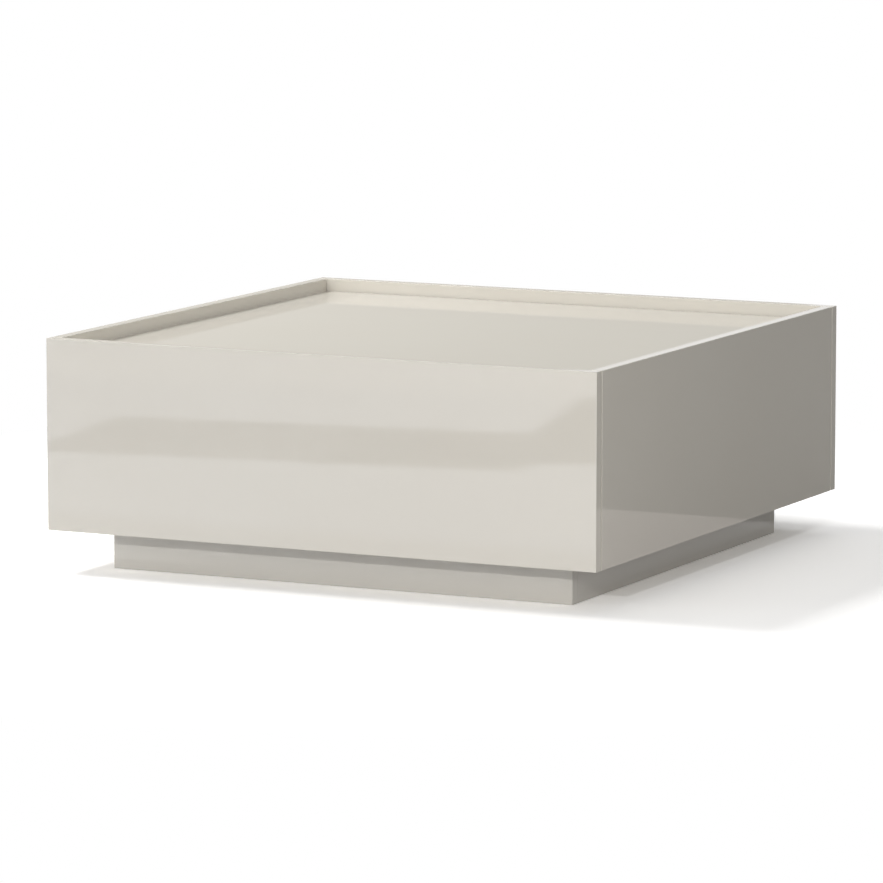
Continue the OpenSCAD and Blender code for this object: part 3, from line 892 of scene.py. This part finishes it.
# The body of a push latch: flange, barrel with a collar, ribs, screw holes, snap windows and bore
def makeLatchHousing(height):
    look = latchLook
    radius, bore, plate, edge = look["radius"], look["bore"], look["plate"], look["edge"]
    housing = makeFlange()
    collar, waist = height - look["collar"], radius - edge
    foot = [(0, look["sunk"]), (waist, look["sunk"]), (waist, collar - edge)]
    rim = [(radius, collar), (radius, height - edge), (waist, height), (0, height)]
    barrel = turnBody("barrel", foot + rim, roundSides)
    wide, reach, top = look["rib"]
    rib = makeBlock((-wide / 2, -reach, plate - look["sunk"]), (wide / 2, reach, top))
    edit(rib, "VERT")
    pick(rib, lambda point: point.z > top - slack, "verts")
    bpy.ops.transform.resize(value=(1, (radius - look["ribTop"]) / reach, 1))
    close()
    combine(housing, [barrel, rib], "UNION")
    for side in (-1, 1):
        cutter = turnBody("hole", look["screwHole"], holeSides)
        cutter.data.transform(Matrix.Translation((0, side * look["screwAt"], 0)))
        combine(housing, [cutter])
    wide, foot, top = look["window"]
    window = makeBlock((-radius - 1, -wide / 2, foot), (radius + 1, wide / 2, top))
    wider, past = look["mouth"]
    inside = [(0, plate), (bore, plate), (bore, height - edge)]
    mouth = [(bore + wider, height + past), (0, height + past)]
    barrelBore = turnBody("bore", inside + mouth, roundSides)
    combine(housing, [window, barrelBore])
    tidyMesh(housing)
    return housing


plungerLook = {
    # (radius, height) points of the rod's foot with its snap groove, then of the cap above the rod
    "rod": [(0, 0), (3.4, 0), (4, 0.6), (4, 4), (3.5, 4.4), (3.5, 5.6), (4, 6)],
    "capFoot": [(0, 0), (4.6, 0), (5, 0.4), (5, 1.2), (4.75, 1.4), (4.75, 1.7), (5, 1.9)],
    "capTop": [(5, 2.6), (4.75, 3.2), (4.2, 3.65), (3.2, 3.9), (1.6, 4), (0, 4)],
    "cap": 4.0,
}


# The plunger's rod, and its domed rubber cap
def makePlunger(height):
    look = plungerLook
    foot = height - look["cap"]
    rod = look["rod"] + [(look["rod"][-1][0], foot), (0, foot)]
    cap = [(radius, foot + rise) for radius, rise in look["capFoot"] + look["capTop"]]
    return turnBody("rodMaster", rod, roundSides), turnBody("capMaster", cap, roundSides)


# The foot of each solid of a latch, at its end away from the drawer, and its length
def feetOf(node, side):
    for points in solidsOf(node):
        low, high = boxOf(points)
        foot = (low + high) / 2
        foot.y = high.y if side < 0 else low.y
        yield foot, (high.y - low.y) / mm


def makeLatches():
    for end, side in (("front", -1), ("back", 1)):
        out, housings, rods, caps = (0, side, 0), [], [], []
        node = f"{end}_latch_housings"
        for foot, height in feetOf(node, side):
            housing = makeLatchHousing(height)
            housings.append(copyTo(housing, foot, out))
            bpy.data.objects.remove(housing)
        finish = "sparkedGreyPlastic"
        finishPiece(housings, f"moulded_{node}", finish, "carcass", [node])
        node = f"{end}_latch_plungers"
        for foot, height in feetOf(node, side):
            for made, master in zip((rods, caps), makePlunger(height)):
                made.append(copyTo(master, foot, out))
                bpy.data.objects.remove(master)
        finishPiece(rods, f"moulded_{node}", "mouldedAcetal", node, [node])
        finishPiece(caps, f"{end}_latch_caps", "blackRubber", node)


camBoltLook = {
    "thread": (2.5, 1.85, 1.3, 0.8, 10.6),  # crest, core, pitch, foot and top
    "footShare": 0.7,
    # (radius, height) points of the collar above the thread, and of the neck under the ball
    "collar": [(0, 9.5), (1.8, 9.5), (1.8, 11), (3.2, 11), (3.5, 11.3), (3.5, 13), (3.1, 13.4)],
    "neck": [(3.1, 35.6), (3.5, 36), (3.5, 37.1), (3.1, 37.5), (2, 37.5), (2, 42.76)],
    "ball": (3, 45),  # radius and height of its middle
    "sides": 24,
}


# A long bolt of a cam joint: threaded at its foot, a collar along it, a neck and a ball at its top
def makeCamBolt():
    look = camBoltLook
    foot = look["thread"][3]
    thread = cutThread("thread", *look["thread"])
    edit(thread)
    pick(thread, lambda middle, way: way.z < -0.99 and middle.z < foot + slack)
    drawOut((0, 0, -foot), (look["footShare"], look["footShare"], 1))
    close()
    radius, middle = look["ball"]
    angles = (1.05, 1.4, 1.75, 2.1, 2.45, 2.8)
    ball = [(radius * math.sin(a), middle - radius * math.cos(a)) for a in angles]
    profile = look["collar"] + look["neck"] + ball + [(0, middle + radius)]
    bolt = turnBody("boltMaster", profile, look["sides"])
    combine(bolt, [thread], "UNION")
    tidyMesh(bolt)
    return bolt


camLook = {
    "radius": 7.5,
    "behind": 4.0,  # from the bolt's axis to the cam's inner end
    "recess": 7.0,  # the size that its cross is cut to
    "arrow": (1.0, 5.6, 0.5),  # size, distance from the middle and depth of the mark
    # points on the side, each as how far in and how high: the face's edge, then the waist
    "side": [(0.9, 0), (0.6, -0.3), (0, -0.5), (0, -1.3), (0.4, -1.7), (0.4, -3), (0, -3.4)],
    "edge": 0.5,
    "tunnel": 2.2,  # radius of the bolt's way in
    "hollow": 3.15,  # radius of the hollow for its ball
}


# A pressure-cast cam: its driven face at the origin, its mark and the bolt's way in towards +X
def makeCam(height):
    look = camLook
    radius, edge, axis = look["radius"], look["edge"], look["behind"] - height
    side = [(radius - inward, rise) for inward, rise in look["side"]]
    foot = [(radius, edge - height), (radius - edge, -height), (0, -height)]
    cam = turnBody("camMaster", [(0, 0)] + side + foot, roundSides)
    combine(cam, [makeCross(look["recess"])])
    size, away, deep = look["arrow"]
    deselect()
    bpy.ops.mesh.primitive_cylinder_add(
        vertices=3,
        radius=size,
        depth=2 * deep,
        location=(away, 0, 0),
        rotation=(0, 0, -math.pi / 2),
    )
    arrow = bpy.context.object
    bpy.ops.object.transform_apply()
    wide, away = look["tunnel"], radius + 1
    tunnel = turnBody("tunnel", [(0, 0), (wide, 0), (wide, away), (0, away)], holeSides)
    tunnel.data.transform(Matrix.Translation((0, 0, axis)) @ Matrix.Rotation(math.pi / 2, 4, "Y"))
    size = look["hollow"]
    hollow = [(size * math.sin(a), -size * math.cos(a)) for a in (0.5, 1, 1.57, 2.14, 2.64)]
    cavity = turnBody("cavity", [(0, -size)] + hollow + [(0, size)], holeSides)
    cavity.data.transform(Matrix.Translation((0, 0, axis)))
    combine(cam, [arrow, tunnel, cavity])
    tidyMesh(cam)
    return cam


dowelLook = {
    "radius": 4.0,
    "length": 30.0,
    "sides": 40,
    "flute": 0.93,  # every fourth side is pressed in to this share
    "tip": (1.5, 0.8),  # how long the thinned ends are, and to what share
}


# A fluted beech dowel with its ends thinned
def makeDowel():
    look = dowelLook
    length, sides, flute = look["length"], look["sides"], look["flute"]
    tip, share = look["tip"]
    deselect()
    bpy.ops.mesh.primitive_cylinder_add(
        vertices=sides, radius=look["radius"], depth=length - 2 * tip, location=(0, 0, length / 2)
    )
    dowel = bpy.context.object
    bpy.ops.object.transform_apply()
    edit(dowel, "VERT")
    pick(dowel, lambda at: round(math.atan2(at.y, at.x) / math.tau * sides) % 4 == 0, "verts")
    bpy.ops.transform.resize(value=(flute, flute, 1), center_override=(0, 0, 0))
    close()
    for way in (-1, 1):
        edit(dowel)
        pick(dowel, lambda middle, normal: normal.z * way > 0.9)
        drawOut((0, 0, tip * way), (share, share, 1), center_override=(0, 0, length / 2))
        close()
    return dowel


# The cam bolts, cams and dowels of the knock-down joints
def makeJoints():
    bolt, dowel = makeCamBolt(), makeDowel()
    cams = {}
    for body in ("carcass", "front_drawer", "back_drawer"):
        boltSolids = [wideEnd(points) for points in solidsOf(f"{body}_cam_bolts")]
        bolts = [copyTo(bolt, start, way) for start, way in boltSolids]
        parts = []
        for points in solidsOf(f"{body}_cam_locks"):
            low, high = boxOf(points)
            size, middle = high - low, (low + high) / 2
            axis = min(range(3), key=lambda i: size[i])
            near = min(boltSolids, key=lambda found: (found[0] - middle).length)
            up = Vector((0, 0, 0))
            up[axis] = 1 if middle[axis] > near[0][axis] else -1
            place = middle + up * size[axis] / 2
            height = round(size[axis] / mm, 2)
            if height not in cams:
                cams[height] = makeCam(height)
            parts.append(copyTo(cams[height], place, up, towards=-near[1]))
        dowels = [copyTo(dowel, *wideEnd(points)) for points in solidsOf(f"{body}_dowels")]
        node = f"{body}_cam_bolts"
        finishPiece(bolts, f"turned_{node}", "turnedZincSteel", body, [node])
        node = f"{body}_cam_locks"
        finishPiece(parts, f"cast_{node}", "castZinc", body, [node])
        node = f"{body}_dowels"
        grain = "beechAcross" if body == "carcass" else "beechAlong"
        finishPiece(dowels, f"fluted_{node}", grain, body, [node])
    for master in [bolt, dowel] + list(cams.values()):
        bpy.data.objects.remove(master)


leverLook = {
    "pad": (2.0, 14.0, 9.0),
    # each stretch drawn out along, across, and its share of the height before: the arm, the tail
    "arm": ((-4, 0, 0.4), (-18, -0.6, 0.85), (-5, -1.6, 1.5), (-2, -0.4, 0.7)),
    "tail": ((5, 1, 0.5),),
    "pin": (2.2, 1.5),  # radius and how far it stands proud
    "pinEdge": 0.4,
    "fromFront": 88.0,
    "fromWeb": 2.2,
    "edge": 0.35,
}


# The release lever of a runner: a pad drawn out to a sprung arm with a paw, and a short tail
def makeLever():
    look = leverLook
    pad = Vector(look["pad"])
    lever = makeBlock(-pad / 2, pad / 2)
    edit(lever)
    for side, stretches in ((-1, look["arm"]), (1, look["tail"])):
        pick(lever, lambda middle, way: way.y * side > 0.9)
        for along, across, share in stretches:
            drawOut((0, along, across), (1, 1, share))
        bpy.ops.mesh.select_all(action="DESELECT")
    close()
    edit(lever, "EDGE", "SELECT")
    bpy.ops.mesh.bevel(offset=look["edge"], segments=2)
    close()
    radius, proud = look["pin"]
    half = look["pad"][0] / 2
    top = half + proud
    inner, shoulder = radius - look["pinEdge"], top - look["pinEdge"]
    outline = [(0, -half), (radius, -half), (radius, shoulder), (inner, top), (0, top)]
    pin = turnBody("pin", outline, holeSides)
    pin.data.transform(Matrix.Rotation(math.pi / 2, 4, "Y"))
    combine(lever, [pin], "UNION")
    tidyMesh(lever)
    return lever


def makeLevers():
    master = makeLever()
    for end, way in (("front", -1), ("back", 1)):
        for hand in ("left", "right"):
            low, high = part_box(f"{end}_{hand}_drawer_rail")
            side = 1 if low.x > 0 else -1
            web = low.x if side > 0 else high.x
            front = low.y if way < 0 else high.y
            place = (
                web + side * leverLook["fromWeb"] * mm,
                front - way * leverLook["fromFront"] * mm,
                (low.z + high.z) / 2,
            )
            # as a left and a right hand
            up, towards = Vector((0, 0, -side * way)), Vector((side, 0, 0))
            piece = copyTo(master, place, up, towards=towards)
            finishPiece([piece], f"{end}_{hand}_release_lever", "blackAcetal", f"{end}_drawer")
    bpy.data.objects.remove(master)


bandLook = {"proud": 0.3, "lip": 0.08, "deep": 0.5, "round": 0.3}


# Thin bands on the top edges of a drawer's box, rounded along both sides
def makeEdgeBands():
    look = bandLook
    for end in ("front", "back"):
        bands = []
        for board in ("left_side", "right_side", "back"):
            low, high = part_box(f"{end}_drawer_{board}")
            low, high = low / mm, high / mm
            across = 1 if board == "back" else 0
            grow = [0, 0]
            grow[across] = look["lip"]
            block = makeBlock(
                (low.x - grow[0], low.y - grow[1], high.z - look["deep"]),
                (high.x + grow[0], high.y + grow[1], high.z + look["proud"]),
            )
            edit(block, "EDGE")
            pick(
                block,
                lambda a, b: min(a.z, b.z) > high.z and abs(a[across] - b[across]) < 1,
                "edges",
            )
            bpy.ops.mesh.bevel(offset=look["round"], segments=3)
            close()
            block.data.transform(Matrix.Scale(mm, 4))
            bands.append(block)
        body = f"{end}_drawer"
        finishPiece(bands, f"{body}_edge_bands", "extrudedEdgeBand", body)


studio = {
    "floorSize": 80.0,
    "floorDrop": 0.0002,  # below the plinth's foot, so that the two never lie in one plane
    "floorBounce": "#DCDDE0",
    "seenFloor": 1.25,  # above 1, so that the lit paper is white to the camera and in the gloss
    "litFloor": 1.5,  # the same for the camera alone, which sees the shadow more faintly
    "fade": (0.75, 1.6),  # between these distances from the object the floor's shadow fades out
    "skyLevel": 0.34,
}

lamps = (
    # name, place, aimed at, width and height, power, colour
    ("leftLow", (-4.0, -0.8, 1.6), (0.0, 0.0, 0.3), (2.0, 1.4), 12, "#FFFFFF"),
    ("leftNear", (-1.9, -0.1, 2.75), (-0.2, 0.0, 0.3), (1.0, 1.0), 75, "#FFFFFF"),
    ("frontLeft", (-3.5, -4.0, 1.4), (0.0, -0.4, 0.2), (1.8, 1.6), 26, "#FFFFFF"),
    ("frontRight", (1.7, -2.35, 0.9), (0.45, -0.3, 0.2), (0.5, 0.8), 12.3, "#FFFAF2"),
    ("behind", (0.0, 2.6, 3.4), (0.0, 0.0, 0.3), (2.0, 2.0), 14, "#FFFFFF"),
)

lowSun = {"elevation": 19.4, "fromLeft": -10.0, "angle": 0.8, "power": 0.7}

# Cards that only the gloss sees, so that the lacquer shows its shine. Behind the table stand a grey
# wall, brighter at its right, and a shaded floor. The floor in front is bright, with dark strips
# across it that draw the band on the drawer front. At the right it is a dim warm grey, and
# cardCorner keeps the far end of the right side dark
cards = (
    # name, place, width and depth, turns about X, Y and Z, soft edge, tint, level
    ("cardWall", (0.0, 4.2, 1.3), (10.0, 2.6), (90, 0, 0), 0.02, "#FFFBF0", 0.56),
    ("cardWallRight", (0.074, 4.19, 2.04), (3.2, 3.0), (90, 17.3, 0), 0.02, "#FFFFFF", 0.95),
    ("cardBack", (0.0, 2.35, 0.002), (9.0, 3.71), (0, 0, 0), 0.01, "#FFFFFF", 0.0),
    ("cardFront", (-1.2, -3.95, 0.001), (7.0, 6.0), (0, 0, 0), 0.12, "#F4F8FF", 1.75),
    ("cardFar", (-1.6, -5.2, 0.0015), (7.0, 5.6), (0, 0, -10), 0.4, "#FFFFFF", 2.0),
    ("cardStrip", (-0.76, -1.93, 0.003), (0.97, 0.52), (0, 0, -9.5), 0.05, "#FFFFFF", 0.25),
    ("cardStripLow", (-0.46, -1.98, 0.0035), (0.62, 0.46), (0, 0, -24), 0.1, "#FFFFFF", 0.0),
    ("cardStripEnd", (-0.35, -2.34, 0.004), (0.3, 0.86), (0, 0, -14), 0.05, "#FFFFFF", 0.0),
    ("cardStripFar", (-0.38, -3.17, 0.002), (0.7, 1.2), (0, 0, -25.7), 0.04, "#FFFFFF", 0.2),
    ("cardCorner", (0.5, 0.6, 0.0025), (0.2, 0.3), (0, 0, 0), 0.05, "#FFFFFF", 0.1),
    ("cardRight", (1.325, -0.45, 0.0012), (1.75, 2.1), (0, 0, 0), 0.08, "#FFF3EF", 0.43),
)


def makeFloor():
    deselect()
    bpy.ops.mesh.primitive_plane_add(
        size=studio["floorSize"], location=(0, 0, -studio["floorDrop"])
    )
    floor = bpy.context.object
    floor.name = "studioFloor"
    material, tree, place = newMaterial("paperSweep")
    rays = addNode(tree, "ShaderNodeLightPath", {})
    seen = seenRays(tree, rays)
    colour = linear(studio["floorBounce"])
    for share, level in ((seen, "seenFloor"), (rays.outputs["Is Camera Ray"], "litFloor")):
        white = (studio[level],) * 3 + (1,)
        colour = addNode(
            tree, "ShaderNodeMix", {0: share, 6: colour, 7: white}, data_type="RGBA"
        ).outputs[2]
    paper = addNode(tree, "ShaderNodeBsdfDiffuse", {"Color": colour})
    glow = addNode(tree, "ShaderNodeEmission", {"Strength": 1.0})
    away = addNode(tree, "ShaderNodeVectorMath", {0: place}, operation="LENGTH").outputs["Value"]
    start, end = studio["fade"]
    fade = addNode(
        tree,
        "ShaderNodeMapRange",
        {"Value": away, "From Min": start, "From Max": end},
        interpolation_type="SMOOTHSTEP",
    )
    share = addNode(tree, "ShaderNodeMath", {0: fade, 1: seen}, operation="MULTIPLY")
    mixed = addNode(tree, "ShaderNodeMixShader", {0: share, 1: paper, 2: glow})
    addNode(tree, "ShaderNodeOutputMaterial", {"Surface": mixed})
    floor.data.materials.append(material)


# 1 for what the camera sees directly, mirrored or through something clear
def seenRays(tree, rays):
    seen = rays.outputs["Is Camera Ray"]
    for kind in ("Is Glossy Ray", "Is Transmission Ray"):
        inputs = {0: seen, 1: rays.outputs[kind]}
        seen = addNode(tree, "ShaderNodeMath", inputs, operation="MAXIMUM")
    return seen


def makeWorld():
    world = bpy.data.worlds.new("studioWorld")
    bpy.context.scene.world = world
    world.use_nodes = True
    tree = world.node_tree
    tree.nodes.clear()
    seen = seenRays(tree, addNode(tree, "ShaderNodeLightPath", {}))
    level = addNode(tree, "ShaderNodeMapRange", {"Value": seen, "To Min": studio["skyLevel"]})
    sky = addNode(tree, "ShaderNodeBackground", {"Color": (1, 1, 1, 1), "Strength": level})
    addNode(tree, "ShaderNodeOutputWorld", {"Surface": sky})


def makeCards():
    for name, place, size, turns, soft, tint, level in cards:
        deselect()
        bpy.ops.mesh.primitive_plane_add(size=1)
        card = bpy.context.object
        card.name = name
        card.scale = (*size, 1)
        bpy.ops.object.transform_apply()
        card.location = place
        card.rotation_euler = [math.radians(turn) for turn in turns]
        material, tree, where = newMaterial(name)
        half = (size[0] / 2, size[1] / 2, 0)
        off = addNode(tree, "ShaderNodeVectorMath", {0: where}, operation="ABSOLUTE")
        inside = addNode(tree, "ShaderNodeVectorMath", {0: half, 1: off}, operation="SUBTRACT")
        sides = addNode(tree, "ShaderNodeSeparateXYZ", {"Vector": inside}).outputs
        edge = addNode(tree, "ShaderNodeMath", {0: sides["X"], 1: sides["Y"]}, operation="MINIMUM")
        cover = addNode(
            tree,
            "ShaderNodeMapRange",
            {"Value": edge, "From Max": soft},
            interpolation_type="SMOOTHSTEP",
        )
        clear = addNode(tree, "ShaderNodeBsdfTransparent", {})
        glow = addNode(tree, "ShaderNodeEmission", {"Color": linear(tint), "Strength": level})
        mixed = addNode(tree, "ShaderNodeMixShader", {0: cover, 1: clear, 2: glow})
        addNode(tree, "ShaderNodeOutputMaterial", {"Surface": mixed})
        card.data.materials.append(material)
        for ray in ("camera", "diffuse", "shadow", "transmission"):
            setattr(card, f"visible_{ray}", False)


# Hangs a light at a place, turned by a quaternion
def hang(data, turned, place=(0, 0, 0)):
    lamp = bpy.data.objects.new(data.name, data)
    lamp.location = place
    lamp.rotation_mode = "QUATERNION"
    lamp.rotation_quaternion = turned
    bpy.context.collection.objects.link(lamp)
    return lamp


def makeLamps():
    for name, place, aim, size, power, colour in lamps:
        data = bpy.data.lights.new(name, "AREA")
        data.shape = "RECTANGLE"
        data.size, data.size_y = size
        data.energy = power
        data.color = linear(colour)[:3]
        lamp = hang(data, (Vector(aim) - Vector(place)).to_track_quat("-Z", "Y"), place)
        lamp.visible_camera = False
        lamp.visible_glossy = False
    data = bpy.data.lights.new("lowSun", "SUN")
    data.energy = lowSun["power"]
    data.angle = math.radians(lowSun["angle"])
    up, side = math.radians(lowSun["elevation"]), math.radians(lowSun["fromLeft"])
    towards = Vector((-math.sin(side) * math.cos(up), -math.cos(side) * math.cos(up), math.sin(up)))
    hang(data, towards.to_track_quat("Z", "Y"))


makeCamera()
materials = makeMaterials()
finishSolids()
print("stage: solids finished")
makeScrews()
print("stage: screws turned")
makeCages()
print("stage: cages bent")
makeLatches()
print("stage: latches moulded")
makeJoints()
print("stage: joint fittings made")
makeLevers()
makeEdgeBands()
print("stage: levers and edge bands made")
makeFloor()
makeWorld()
makeCards()
makeLamps()
print("stage: studio set")
